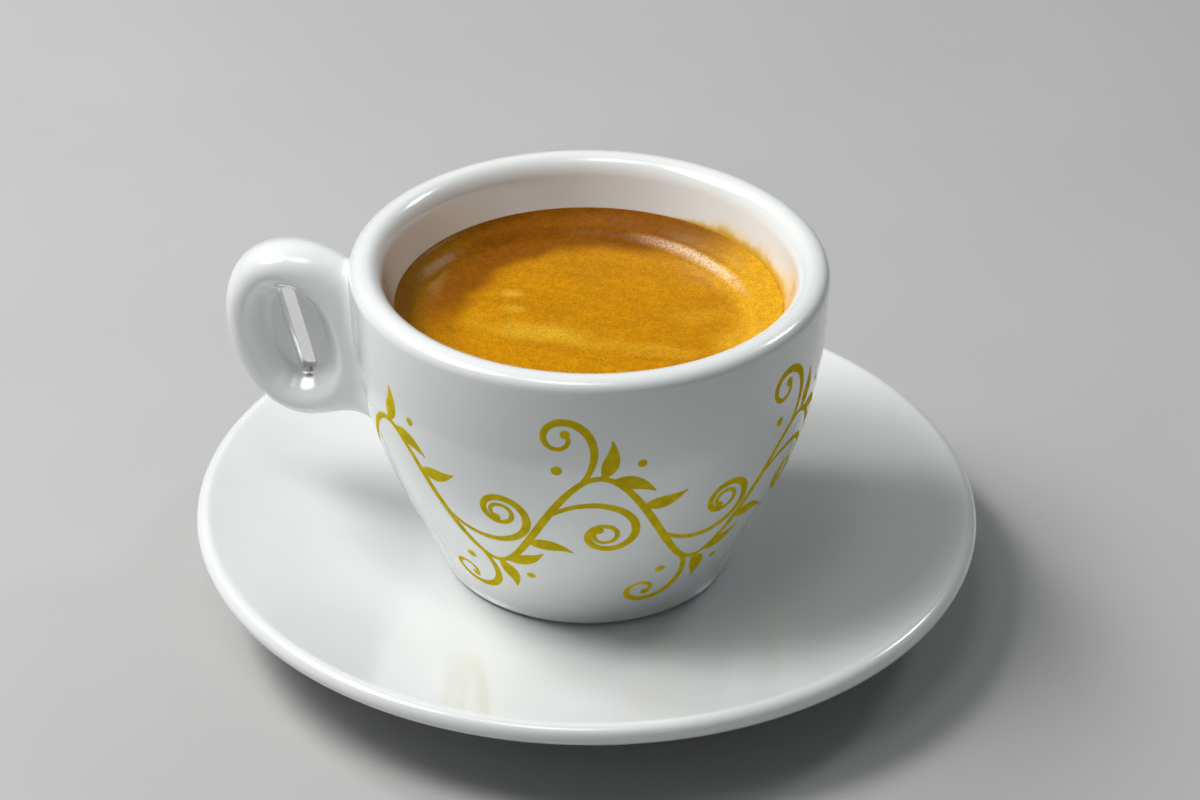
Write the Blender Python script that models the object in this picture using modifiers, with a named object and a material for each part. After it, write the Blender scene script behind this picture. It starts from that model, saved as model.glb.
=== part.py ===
"""A black coffee with crema in a thick flaring porcelain cup, standing on its saucer.

The cup and the saucer are turned shapes. The cup's handle is a rounded ear that points along -X, with an oval
dimple on both faces and a narrow slot through the thin web between them. Lengths are in metres, +Z is up, and the
origin is at the middle of the saucer's underside.
"""

import math

import bpy

GAP = 0.0003  # between pieces that touch
SEGMENTS = 60  # facets round a turned piece

SAUCER_RADIUS = 0.0715
SAUCER_HEIGHT = 0.0175
SAUCER_RIM = 0.0019  # radius of the rounded edge
SAUCER_THICKNESS = 0.0044
SAUCER_CURVE = 1.35  # above 1 the flange hollows
WELL_RADIUS = 0.0295
WELL_HEIGHT = 0.0065  # top of the flat on which the cup stands
WELL_STEP = 0.0005
FLANGE_START = 0.0310
BASE_THICKNESS = 0.0035
SAUCER_FOOT_RADIUS = 0.0385  # middle of the foot ring
SAUCER_FOOT_HALF = 0.0012  # half the width of its flat
SAUCER_FOOT_FLARE = 0.0010

CUP_BOTTOM = WELL_HEIGHT + GAP
FOOT_ROUND = 0.0015
FOOT_LINE = CUP_BOTTOM + FOOT_ROUND  # where the rounded foot meets the wall
FOOT_RADIUS = 0.0271
FOOT_FLAT = 0.0030  # width of the ring on which the cup stands
FOOT_RECESS = 0.0015
RIM_RADIUS = 0.0425
RIM_RISE = 0.0570  # from the foot line to where the lip's rounding starts
WALL_FLARE = 2.4
WALL_EASE = 1.25
LIP_ROUND = 0.0020
LIP_WALL = 0.0058
BODY_WALL = 0.0067
LIP_TAPER = 0.0120  # depth over which the lip thickens to the wall
FLOOR_RISE = 0.0052  # of the cup's inner floor above the foot line
FLOOR_CORNER = 0.0060

DRINK_RISE = 0.0499  # from the foot line to the crema's edge
CREMA_DIP = 0.0023  # how far its middle lies below its edge
CREMA_THICKNESS = 0.0036
CREMA_FLAT = 0.0286  # mean radius of the level middle
CREMA_SHIFT = 0.0045  # how much wider the banked ring is on its wide side
CREMA_WIDE_SIDE = math.radians(102)
CREMA_RING_STEPS = 5

EAR_CENTRE = 0.0540  # from the cup's axis to the middle of the slot
EAR_RISE = 0.0377  # from the foot line to the middle of the slot
EAR_HALF_THICKNESS = 0.0058
EAR_ROOT = 0.0035  # how deep the ear's root is sunk in the wall
EAR_AROUND = 44
EAR_SECTION = 24
WEB_HALF_THICKNESS = 0.0009
EAR_FLARE_REACH = 0.0050  # how far from the wall the ear starts to spread
EAR_FLARE_SIDEWAYS = 0.22  # by what share it is then thicker where it meets the wall
EAR_FLARE_UPRIGHT = 0.05  # and by what share taller
EAR_LEAN = math.radians(14)  # of the ear's ovals, which stand along the flaring wall


class Oval:
    """A leaning outline of four quarter superellipses.

    outward and inward each hold (half width, power) of their upper and of their lower quarter, and up and down are
    half heights. A power of 2 is an ellipse, and a higher one is squarer.
    """

    def __init__(self, outward, inward, up, down):
        self.outward = outward
        self.inward = inward
        self.up = up
        self.down = down

    def point(self, turn):
        """Offset away from the cup and upwards at an angle counted from straight outwards."""
        side, level = math.cos(turn + EAR_LEAN), math.sin(turn + EAR_LEAN)
        half_height = self.up if level > 0 else self.down
        upper, lower = self.outward if side > 0 else self.inward
        half_width, power = upper if level > 0 else lower
        across = math.copysign(half_width * abs(side) ** (2 / power), side)
        upward = math.copysign(half_height * abs(level) ** (2 / power), level)
        outward = across * math.cos(EAR_LEAN) + upward * math.sin(EAR_LEAN)
        return outward, upward * math.cos(EAR_LEAN) - across * math.sin(EAR_LEAN)


EAR_OUTLINE = Oval(
    outward=((0.01255, 2.2), (0.01255, 1.9)),
    inward=((0.0174, 2.0), (0.0225, 3.2)),
    up=0.0172,
    down=0.0176,
)
EAR_CREST = Oval(
    outward=((0.0092, 2.0), (0.0092, 2.0)),
    inward=((0.0088, 2.0), (0.0088, 2.0)),
    up=0.0125,
    down=0.0130,
)
EAR_SLOT = Oval(
    outward=((0.0014, 4.0), (0.0014, 4.0)),
    inward=((0.0020, 4.0), (0.0020, 4.0)),
    up=0.0086,
    down=0.0086,
)


def clear_scene():
    for item in list(bpy.data.objects):
        bpy.data.objects.remove(item, do_unlink=True)


def new_collection(name):
    collection = bpy.data.collections.new(name)
    bpy.context.scene.collection.children.link(collection)
    return collection


def new_material(name, colour, roughness):
    material = bpy.data.materials.new(name)
    material.use_nodes = True
    shader = material.node_tree.nodes["Principled BSDF"]
    shader.inputs["Base Color"].default_value = (*colour, 1.0)
    shader.inputs["Roughness"].default_value = roughness
    shader.inputs["Metallic"].default_value = 0.0
    return material


def arc(centre, radius, start, end, steps):
    """Points of an arc in the (radius, height) plane, from start to end in degrees."""
    points = []
    for i in range(steps + 1):
        angle = math.radians(start + (end - start) * i / steps)
        points.append((centre[0] + radius * math.cos(angle), centre[1] + radius * math.sin(angle)))
    return points


def spaced(start, end, steps):
    return [start + (end - start) * i / steps for i in range(steps + 1)]


def smooth_step(value):
    value = min(max(value, 0.0), 1.0)
    return value * value * (3 - 2 * value)


def turned_piece(name, outline, material, collection):
    """An outline of (radius, height) points, from the top of the axis out and down to its foot, turned about +Z."""
    mesh = bpy.data.meshes.new(name)
    vertices = [(radius, 0.0, height) for radius, height in outline]
    edges = [(i, i + 1) for i in range(len(outline) - 1)]
    mesh.from_pydata(vertices, edges, [])
    mesh.materials.append(material)
    piece = bpy.data.objects.new(name, mesh)
    collection.objects.link(piece)
    screw = piece.modifiers.new("Turn", "SCREW")
    screw.steps = SEGMENTS
    screw.render_steps = SEGMENTS
    screw.use_merge_vertices = True
    screw.merge_threshold = 0.00001
    screw.use_smooth_shade = True
    return piece


def settled(piece):
    """The piece with its modifiers made into mesh."""
    bpy.context.view_layer.update()
    evaluated = piece.evaluated_get(bpy.context.evaluated_depsgraph_get())
    mesh = bpy.data.meshes.new_from_object(evaluated)
    piece.modifiers.clear()
    piece.data = mesh
    return piece


def wall_radius(rise):
    """Outer radius of the cup at a height above its foot line."""
    share = min(max(rise / RIM_RISE, 0.0), 1.0)
    flare = (1 - (1 - share) ** WALL_FLARE) ** WALL_EASE
    return FOOT_RADIUS + (RIM_RADIUS - FOOT_RADIUS) * flare


def hollow_radius(rise):
    """Inner radius of the cup at a height above its foot line."""
    wall = LIP_WALL + (BODY_WALL - LIP_WALL) * smooth_step((RIM_RISE - rise) / LIP_TAPER)
    return wall_radius(rise) - wall


def hollow_outline(top, inset, steps):
    """The cup's hollow from a rise above the foot line down to its floor, drawn in by an inset."""
    bend = FLOOR_RISE + FLOOR_CORNER
    points = [(hollow_radius(rise) - inset, FOOT_LINE + rise) for rise in spaced(top, bend, steps)]
    corner = (hollow_radius(bend) - inset - FLOOR_CORNER, FOOT_LINE + bend)
    points += arc(corner, FLOOR_CORNER - inset, 0, -90, 4)[1:]
    points.append((0.0, FOOT_LINE + FLOOR_RISE + inset))
    return points


def saucer_outline():
    rim_centre = (SAUCER_RADIUS - SAUCER_RIM, SAUCER_HEIGHT - SAUCER_RIM)
    start = (FLANGE_START, WELL_HEIGHT + WELL_STEP)
    slope = SAUCER_CURVE * (rim_centre[1] - start[1]) / (rim_centre[0] - start[0])
    lean = math.degrees(math.atan(slope))
    rim = arc(rim_centre, SAUCER_RIM, 90 + lean, -90 + lean, 6)
    end = rim[0]

    def flange(radius):
        share = max((radius - start[0]) / (end[0] - start[0]), 0.0)
        return start[1] + (end[1] - start[1]) * share**SAUCER_CURVE

    foot_out = SAUCER_FOOT_RADIUS + SAUCER_FOOT_HALF
    foot_in = SAUCER_FOOT_RADIUS - SAUCER_FOOT_HALF
    under_start = foot_out + SAUCER_FOOT_FLARE
    under_base = WELL_HEIGHT - BASE_THICKNESS
    top = [(0.0, WELL_HEIGHT), (WELL_RADIUS, WELL_HEIGHT)]
    top += [(radius, flange(radius)) for radius in spaced(start[0], end[0], 7)[:-1]]
    under = [(radius, flange(radius) - SAUCER_THICKNESS) for radius in spaced(rim[-1][0], under_start, 5)[1:]]
    foot = [(foot_out, 0.0), (foot_in, 0.0), (foot_in - SAUCER_FOOT_FLARE, under_base), (0.0, under_base)]
    return top + rim + under + foot


def cup_outline():
    lip_outer = (RIM_RADIUS - LIP_ROUND, FOOT_LINE + RIM_RISE)
    lip_inner = (RIM_RADIUS - LIP_WALL + LIP_ROUND, FOOT_LINE + RIM_RISE)
    foot_centre = (FOOT_RADIUS - FOOT_ROUND, FOOT_LINE)
    foot_inner = foot_centre[0] - FOOT_FLAT
    hollow = hollow_outline(RIM_RISE, 0.0, 9)
    lip = arc(lip_inner, LIP_ROUND, 180, 90, 4)[1:] + arc(lip_outer, LIP_ROUND, 90, 0, 4)
    wall = [(wall_radius(rise), FOOT_LINE + rise) for rise in spaced(RIM_RISE, 0.0, 12)[1:-1]]
    foot = arc(foot_centre, FOOT_ROUND, 0, -90, 3)
    under = [
        (foot_inner, CUP_BOTTOM),
        (foot_inner - FOOT_RECESS, CUP_BOTTOM + FOOT_RECESS),
        (0.0, CUP_BOTTOM + FOOT_RECESS),
    ]
    return hollow[::-1] + lip + wall + foot + under


def ear_section(turn, around):
    """Offset outwards, upwards and sideways of a point on the ear.

    turn goes round the slot, and around goes round the section from the outer edge, over the crest, to the slot.
    """
    crest = EAR_CREST.point(turn)
    over = abs(math.remainder(around, 2 * math.pi))
    if over <= math.pi / 2:
        share = math.cos(over)
        edge = EAR_OUTLINE.point(turn)
        depth = EAR_HALF_THICKNESS * math.sin(over)
    else:
        share = min(-math.cos(over) * 1.02, 1.0)
        edge = EAR_SLOT.point(turn)
        fall = (1 + math.cos(math.pi * share)) / 2
        depth = WEB_HALF_THICKNESS + (EAR_HALF_THICKNESS - WEB_HALF_THICKNESS) * fall
        depth *= min(1.0, 4 * math.sin(over))
    outward = crest[0] + (edge[0] - crest[0]) * share
    upward = crest[1] + (edge[1] - crest[1]) * share
    return outward, upward, math.copysign(depth, math.sin(around))


def ear_solid(collection, material):
    """A torus drawn out into the ear, its root sunk in the cup's wall."""
    bpy.ops.mesh.primitive_torus_add(
        major_segments=EAR_AROUND,
        minor_segments=EAR_SECTION,
        major_radius=EAR_CENTRE,
        minor_radius=EAR_HALF_THICKNESS,
    )
    ear = bpy.context.active_object
    ear.name = "ear_form"
    for home in list(ear.users_collection):
        home.objects.unlink(ear)
    collection.objects.link(ear)
    ear.data.materials.clear()
    ear.data.materials.append(material)
    for vertex in ear.data.vertices:
        turn = math.atan2(vertex.co.y, vertex.co.x)
        around = math.atan2(vertex.co.z, math.hypot(vertex.co.x, vertex.co.y) - EAR_CENTRE)
        outward, upward, sideways = ear_section(turn, around)
        wall = wall_radius(EAR_RISE + upward)
        reach = max(EAR_CENTRE + outward, wall - EAR_ROOT)
        nearness = min(max(1 - (reach - wall) / EAR_FLARE_REACH, 0.0), 1.0)
        sideways *= 1 + EAR_FLARE_SIDEWAYS * nearness**2
        upward *= 1 + EAR_FLARE_UPRIGHT * nearness**2
        vertex.co = (-reach, sideways, FOOT_LINE + EAR_RISE + upward)
    ear.data.shade_smooth()
    return ear


def make_cup(parts, guides, material):
    cup = settled(turned_piece("cup", cup_outline(), material, parts))
    ear = ear_solid(guides, material)
    join = cup.modifiers.new("Join the ear", "BOOLEAN")
    join.operation = "UNION"
    join.object = ear
    settled(cup)
    bpy.data.objects.remove(ear, do_unlink=True)
    cup.data.set_sharp_from_angle(angle=math.radians(35))
    return cup


def make_saucer(parts, material):
    return turned_piece("saucer", saucer_outline(), material, parts)


def make_coffee(parts, material):
    top = DRINK_RISE - CREMA_DIP - CREMA_THICKNESS - GAP
    outline = [(0.0, FOOT_LINE + top)] + hollow_outline(top, GAP, 5)
    return turned_piece("coffee", outline, material, parts)


def banked_height(x, y, edge_radius):
    """Height of the crema's face over its level middle, as a share of the rise to its edge."""
    turn = math.atan2(y, x) - CREMA_WIDE_SIDE
    level = CREMA_FLAT - CREMA_SHIFT * math.cos(turn)
    share = (math.hypot(x, y) - level) / (edge_radius - level)
    return smooth_step(share) * 0.5 + max(share, 0.0) ** 2 * 0.5


def make_crema(parts, material):
    edge = hollow_radius(DRINK_RISE) - GAP
    under = DRINK_RISE - CREMA_DIP - CREMA_THICKNESS
    face = FOOT_LINE + DRINK_RISE - CREMA_DIP
    ring_start = CREMA_FLAT - CREMA_SHIFT
    outline = [(0.0, face), (ring_start / 2, face)]
    outline += [(radius, face) for radius in spaced(ring_start, edge, CREMA_RING_STEPS)]
    outline += [(hollow_radius(under) - GAP, FOOT_LINE + under), (0.0, FOOT_LINE + under)]
    crema = settled(turned_piece("crema", outline, material, parts))
    for vertex in crema.data.vertices:
        if vertex.co.z > face - CREMA_THICKNESS / 2:
            vertex.co.z += CREMA_DIP * banked_height(vertex.co.x, vertex.co.y, edge)
    return crema


def main():
    clear_scene()
    parts = new_collection("coffee_in_cup_and_saucer")
    guides = new_collection("guides")
    make_saucer(parts, new_material("saucer_porcelain", (0.86, 0.87, 0.86), 0.12))
    make_cup(parts, guides, new_material("cup_porcelain", (0.86, 0.87, 0.86), 0.12))
    make_coffee(parts, new_material("coffee", (0.05, 0.02, 0.008), 0.1))
    make_crema(parts, new_material("crema", (0.56, 0.24, 0.02), 0.45))


main()
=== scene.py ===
"""The finished look of a black coffee with crema in a white porcelain cup on its saucer.

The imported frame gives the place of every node. Each piece here is a fine mesh that stands for one node, or lies on
one: the turned saucer and cup, the pierced ear that grows out of the cup's wall, the coffee, the crema with its
banked edge, and a scroll of yellow enamel round the cup. Lengths are in metres and +Z is up.
"""

import logging
import math
from dataclasses import dataclass, replace
from enum import Enum
from functools import reduce
from typing import Callable, Sequence

import bpy
import numpy as np
from mathutils import Matrix, Vector

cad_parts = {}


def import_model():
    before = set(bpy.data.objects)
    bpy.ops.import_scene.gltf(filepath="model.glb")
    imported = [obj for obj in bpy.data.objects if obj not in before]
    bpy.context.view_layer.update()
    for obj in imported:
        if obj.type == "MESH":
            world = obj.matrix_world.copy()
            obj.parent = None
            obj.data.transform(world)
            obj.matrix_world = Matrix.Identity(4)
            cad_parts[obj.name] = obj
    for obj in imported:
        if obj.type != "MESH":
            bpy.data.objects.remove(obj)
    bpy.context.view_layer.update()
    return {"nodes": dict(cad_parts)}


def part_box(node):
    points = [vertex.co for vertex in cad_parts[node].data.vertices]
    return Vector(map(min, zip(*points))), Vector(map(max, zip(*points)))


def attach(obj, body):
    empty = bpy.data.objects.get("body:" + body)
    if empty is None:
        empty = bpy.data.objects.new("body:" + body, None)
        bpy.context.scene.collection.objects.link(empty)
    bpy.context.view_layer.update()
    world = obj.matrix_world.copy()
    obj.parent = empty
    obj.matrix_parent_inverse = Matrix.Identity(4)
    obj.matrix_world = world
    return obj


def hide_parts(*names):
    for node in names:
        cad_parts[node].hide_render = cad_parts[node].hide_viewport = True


LOG = logging.getLogger("coffee_cup")
BODY = "root"
SPACE_PROBE = 0.00005  # half step for a slope in space
WALL_PROBE = 0.0002  # half step for a slope up the cup's wall
ENDLESS = 1000.0  # half length of an oval along an axis that doesn't count
SETTLE_ROUNDS = 4  # how often a mesh's points are moved onto its surface
LEAST_SLOPE = 0.05  # smallest squared slope that a move is divided by
Points = np.ndarray
Triple = tuple[float, float, float]
Colour = Triple
Face = tuple[int, ...]
Socket = bpy.types.NodeSocket


class Slot(Enum):
    """The record's material slots."""

    PORCELAIN = "porcelain"
    COFFEE = "coffee"
    CREMA = "crema"
    PRINT = "print"


class Node(Enum):
    """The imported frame's nodes."""

    SAUCER = "saucer"
    CUP = "cup"
    COFFEE = "coffee"
    CREMA = "crema"


def smooth_step(value: Points, low: float = 0.0, high: float = 1.0) -> Points:
    """Eases from 0 at low to 1 at high.

    Args:
        value: numbers of any shape.
        low: where the ease starts.
        high: where it ends.

    Returns:
        The eased numbers, in the same shape.
    """
    share = np.clip((np.asarray(value, float) - low) / (high - low), 0.0, 1.0)
    return share * share * (3 - 2 * share)


def arc(centre: tuple[float, float], radius: float, start: float, end: float, steps: int) -> Points:
    """Points of an arc in the (radius, height) plane.

    Args:
        centre: the arc's centre.
        radius: its radius.
        start: first angle in degrees, from straight outwards.
        end: last angle in degrees.
        steps: how many pieces the arc is cut in.

    Returns:
        An array of steps + 1 points.
    """
    angles = np.radians(np.linspace(start, end, steps + 1))
    return np.stack([centre[0] + radius * np.cos(angles), centre[1] + radius * np.sin(angles)], 1)


class MeshPiece:
    """A visible piece made of points and faces."""

    def __init__(self, name: str, points: Points, faces: Sequence[Sequence[int]]) -> None:
        """Makes the mesh and its object.

        Args:
            name: the piece's name.
            points: an array of places.
            faces: corner numbers of each face.
        """
        mesh = bpy.data.meshes.new(name)
        mesh.from_pydata(np.asarray(points, float).tolist(), [], [list(map(int, face)) for face in faces])
        mesh.update()
        mesh.shade_smooth()
        self.piece = bpy.data.objects.new(name, mesh)
        bpy.context.scene.collection.objects.link(self.piece)

    def dress(self, material: bpy.types.Material, slot: Slot, *nodes: Node) -> bpy.types.Object:
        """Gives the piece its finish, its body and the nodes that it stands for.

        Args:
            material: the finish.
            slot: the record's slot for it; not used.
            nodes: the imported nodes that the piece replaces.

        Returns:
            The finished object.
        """
        self.piece.data.materials.append(material)
        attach(self.piece, BODY)
        if nodes:
            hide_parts(*(node.value for node in nodes))
        mesh = self.piece.data
        LOG.info("%s: %d points, %d faces", self.piece.name, len(mesh.vertices), len(mesh.polygons))
        return self.piece


def grid_faces(rows: int, columns: int, is_round: bool, start: int = 0) -> list[Face]:
    """Four-cornered faces between rows of points.

    Args:
        rows: how many rows there are.
        columns: how many points a row has.
        is_round: whether each row closes on itself.
        start: number of the first point.

    Returns:
        The faces, whose corners run row by row.
    """
    faces = []
    for row in range(rows - 1):
        for column in range(columns if is_round else columns - 1):
            after = (column + 1) % columns
            low = start + row * columns
            faces.append((low + column, low + columns + column, low + columns + after, low + after))
    return faces


def capped(rings: Points, top: float, bottom: float) -> tuple[Points, list[Face]]:
    """Joins rings of points into a closed skin with a fan at each end.

    Args:
        rings: points by ring and column, from the upper middle out, down and back to the lower middle.
        top: height of the upper fan's middle.
        bottom: height of the lower fan's middle.

    Returns:
        The points and the outward faces.
    """
    count, columns = rings.shape[:2]
    faces: list[Face] = list(grid_faces(count, columns, True))
    end = count * columns
    last = end - columns
    for column in range(columns):
        after = (column + 1) % columns
        faces += [(end, column, after), (end + 1, last + after, last + column)]
    return np.vstack([rings.reshape(-1, 3), [[0, 0, top], [0, 0, bottom]]]), faces


def turned(outline: Points, segments: int) -> tuple[Points, list[Face]]:
    """Turns an outline about +Z.

    Args:
        outline: (radius, height) points from the upper middle out, down and back to the lower middle.
        segments: how many columns of faces go round.

    Returns:
        The points and the outward faces.
    """
    angles = np.linspace(0, 2 * math.pi, segments, endpoint=False)
    inner = outline[1:-1, None]
    round_part = inner[..., :1] * np.stack([np.cos(angles), np.sin(angles)], 1)
    rings = np.concatenate([round_part, np.repeat(inner[..., 1:], segments, 1)], 2)
    return capped(rings, outline[0][1], outline[-1][1])


def slope_of(level: Callable[[Points], Points], places: Points) -> Points:
    """Slope of a level along each axis.

    Args:
        level: gives a number for each place.
        places: an array of points.

    Returns:
        The slopes, in the shape of the places.
    """
    steps = SPACE_PROBE * np.eye(3)
    return np.stack([(level(places + step) - level(places - step)) / (2 * SPACE_PROBE) for step in steps], -1)


class NodeGraph:
    """A material's node tree, built up by short calls."""

    def __init__(self, name: str) -> None:
        """Starts a material with one Principled surface.

        Args:
            name: the material's name.
        """
        self.material = bpy.data.materials.new(name)
        self.material.use_nodes = True
        self.tree = self.material.node_tree
        self.shader = self.tree.nodes["Principled BSDF"]

    def node(self, kind: str, **settings: object) -> bpy.types.Node:
        """Adds a node.

        Args:
            kind: Blender's node type.
            settings: its properties.

        Returns:
            The node.
        """
        made = self.tree.nodes.new(kind)
        for key, value in settings.items():
            setattr(made, key, value)
        return made

    def link(self, source: Socket, target: Socket) -> None:
        """Joins two sockets."""
        self.tree.links.new(source, target)

    def settle(self, values: dict[str, float]) -> None:
        """Sets the surface's own sockets by name."""
        for socket, value in values.items():
            self.shader.inputs[socket].default_value = value

    def place(self) -> Socket:
        """The place in the object's own metres."""
        return self.node("ShaderNodeTexCoord").outputs["Object"]

    def axes(self) -> tuple[Socket, ...]:
        """The place's three coordinates.

        Returns:
            The sockets of X, Y and Z.
        """
        parts = self.node("ShaderNodeSeparateXYZ")
        self.link(self.place(), parts.inputs["Vector"])
        return parts.outputs["X"], parts.outputs["Y"], parts.outputs["Z"]

    def product(self, *factors: Socket | float) -> Socket:
        """Several numbers or sockets multiplied together."""
        return reduce(lambda first, second: self.math("MULTIPLY", first, second), factors)

    def length(self, first: Socket, second: Socket) -> Socket:
        """Length of a flat vector."""
        squares = self.math("ADD", self.math("POWER", first, 2.0), self.math("POWER", second, 2.0))
        return self.math("SQRT", squares)

    def towards(self, x: Socket, y: Socket, angle: float) -> Socket:
        """How far a place lies towards an angle."""
        return self.math("ADD", self.product(x, math.cos(angle)), self.product(y, math.sin(angle)))

    def shifted_radius(self, x: Socket, y: Socket, shift: float, wide_side: float) -> Socket:
        """Distance from an axis that is shifted away from a wide side."""
        across = self.math("ADD", x, shift * math.cos(wide_side))
        return self.length(across, self.math("ADD", y, shift * math.sin(wide_side)))

    def reach(self, centre: Triple, size: Triple, turn: float = 0.0) -> Socket:
        """How far a place lies from an oval's middle: 1 is on the oval.

        Args:
            centre: the oval's middle.
            size: its half lengths.
            turn: its angle about +Z.

        Returns:
            The distance's socket.
        """
        mapping = self.node("ShaderNodeMapping", vector_type="TEXTURE")
        for key, value in (("Location", centre), ("Rotation", (0.0, 0.0, turn)), ("Scale", size)):
            mapping.inputs[key].default_value = value
        self.link(self.place(), mapping.inputs["Vector"])
        length = self.node("ShaderNodeVectorMath", operation="LENGTH")
        self.link(mapping.outputs["Vector"], length.inputs[0])
        return length.outputs["Value"]

    def ragged(self, scale: float, detail: float, amount: float, stretch: Triple | None = None) -> Socket:
        """A noise on both sides of 0."""
        return self.product(self.math("SUBTRACT", self.noise(scale, detail, stretch), 0.5), amount)

    def noise(self, scale: float, detail: float = 3.0, stretch: Triple | None = None,
              roughness: float = 0.5, distortion: float = 0.0) -> Socket:
        """A noise over the object.

        Args:
            scale: waves in a metre.
            detail: octaves.
            stretch: a scale for each axis, to draw the noise out.
            roughness: how strong the fine octaves are.
            distortion: how much the noise swirls.

        Returns:
            The noise's value socket.
        """
        made = self.node("ShaderNodeTexNoise")
        values = {"Scale": scale, "Detail": detail, "Roughness": roughness, "Distortion": distortion}
        for key, number in values.items():
            made.inputs[key].default_value = number
        source = self.place()
        if stretch is not None:
            mapping = self.node("ShaderNodeMapping")
            mapping.inputs["Scale"].default_value = stretch
            self.link(source, mapping.inputs["Vector"])
            source = mapping.outputs["Vector"]
        self.link(source, made.inputs["Vector"])
        return made.outputs["Fac"]

    def math(self, operation: str, first: Socket | float, second: Socket | float = 0.0) -> Socket:
        """One sum on two numbers or sockets.

        Args:
            operation: Blender's name of it.
            first: a number or socket.
            second: a number or socket.

        Returns:
            The result's socket.
        """
        made = self.node("ShaderNodeMath", operation=operation)
        for index, value in enumerate((first, second)):
            if isinstance(value, (int, float)):
                made.inputs[index].default_value = value
            else:
                self.link(value, made.inputs[index])
        return made.outputs[0]

    def span(self, value: Socket, low: float, high: float, start: float = 0.0, end: float = 1.0) -> Socket:
        """Maps a value smoothly from low..high to start..end.

        Args:
            value: the socket to map.
            low: value that gives start.
            high: value that gives end.
            start: result at low.
            end: result at high.

        Returns:
            The mapped socket.
        """
        made = self.node("ShaderNodeMapRange", interpolation_type="SMOOTHSTEP")
        self.link(value, made.inputs["Value"])
        for key, number in (("From Min", low), ("From Max", high), ("To Min", start), ("To Max", end)):
            made.inputs[key].default_value = number
        return made.outputs["Result"]

    def mix(self, share: Socket | float, first: Socket | Colour, second: Socket | Colour) -> Socket:
        """Mixes two colours.

        Args:
            share: how much of the second, a number or socket.
            first: a colour or socket.
            second: a colour or socket.

        Returns:
            The mixed colour's socket.
        """
        made = self.node("ShaderNodeMix", data_type="RGBA")
        for socket, value in ((made.inputs[0], share), (made.inputs[6], first), (made.inputs[7], second)):
            if isinstance(value, (int, float)):
                socket.default_value = value
            elif isinstance(value, tuple):
                socket.default_value = (*value, 1.0)
            else:
                self.link(value, socket)
        return made.outputs[2]

    def bump(self, height: Socket, distance: float, strength: float = 1.0, under: Socket | None = None) -> Socket:
        """Fine relief from a height.

        Args:
            height: the height socket, 0 to 1.
            distance: what 1 means in metres.
            strength: share of it that shows.
            under: the normal that it is laid on.

        Returns:
            The new normal's socket.
        """
        made = self.node("ShaderNodeBump")
        made.inputs["Distance"].default_value = distance
        made.inputs["Strength"].default_value = strength
        self.link(height, made.inputs["Height"])
        if under is not None:
            self.link(under, made.inputs["Normal"])
        return made.outputs["Normal"]

    def colour(self, socket: Socket) -> None:
        """Links the base colour."""
        self.link(socket, self.shader.inputs["Base Color"])

    def normal(self, socket: Socket) -> None:
        """Links the surface's normal."""
        self.link(socket, self.shader.inputs["Normal"])


class Finish:
    """A surface finish made of shader nodes."""

    def build(self, name: str) -> bpy.types.Material:
        """Makes the finish.

        Args:
            name: the material's name.

        Returns:
            The material.
        """
        graph = NodeGraph(name)
        self.paint(graph)
        return graph.material

    def paint(self, graph: NodeGraph) -> None:
        """Lays the finish's colours and relief on a graph, which each finish does in its own way."""
        raise NotImplementedError


@dataclass(frozen=True)
class Speck:
    """A small brown stain."""

    place: Triple
    size: Triple = (0.0007, 0.0030, 0.0011)
    tone: Colour = (0.20, 0.10, 0.05)
    strength: float = 0.85
    rag_scale: float = 1500.0
    rag: float = 1.2

    def lay(self, graph: NodeGraph, ground: Socket) -> Socket:
        """Lays the stain over a colour."""
        edge = graph.math("ADD", graph.reach(self.place, self.size), graph.ragged(self.rag_scale, 3.0, self.rag))
        return graph.mix(graph.span(edge, 0.5, 1.2, self.strength, 0.0), ground, self.tone)


@dataclass(frozen=True)
class Tide:
    """The trace that the crema left on the inner wall, feathered and highest on one side."""

    line: float
    reach: float = 0.0024
    inner_radius: float = 0.0385
    edge: float = 0.0005
    side: float = math.radians(33)
    half_angle: float = math.radians(46)
    thin_line: float = 0.00035
    depth: float = 0.0020
    wisp_scale: float = 300.0
    wisp_stretch: Triple = (1.0, 1.0, 0.6)
    wet: Colour = (0.64, 0.36, 0.020)
    dry: Colour = (0.80, 0.69, 0.48)

    def lay(self, graph: NodeGraph, ground: Socket) -> Socket:
        """Lays the trace over a colour.

        Args:
            graph: the material's graph.
            ground: the colour under it.

        Returns:
            The colour with the trace.
        """
        x, y, z = graph.axes()
        radius = graph.length(x, y)
        cosine = graph.math("DIVIDE", graph.towards(x, y, self.side), radius)
        on_side = graph.span(cosine, math.cos(self.half_angle), math.cos(self.half_angle / 4))
        wisps = graph.math("ADD", graph.ragged(self.wisp_scale, 3.0, 2.0, self.wisp_stretch), 1.0)
        top = graph.math("ADD", graph.product(on_side, wisps, self.reach), self.thin_line)
        height = graph.math("DIVIDE", graph.math("SUBTRACT", z, self.line), top)
        inside = graph.span(radius, self.inner_radius, self.inner_radius + self.edge, 1.0, 0.0)
        above = graph.span(z, self.line - self.depth, self.line - 0.8 * self.depth)
        share = graph.product(graph.span(height, 0.45, 1.35, 1.0, 0.0), inside, above)
        return graph.mix(share, ground, graph.mix(graph.span(height, 0.15, 0.8), self.wet, self.dry))


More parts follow.
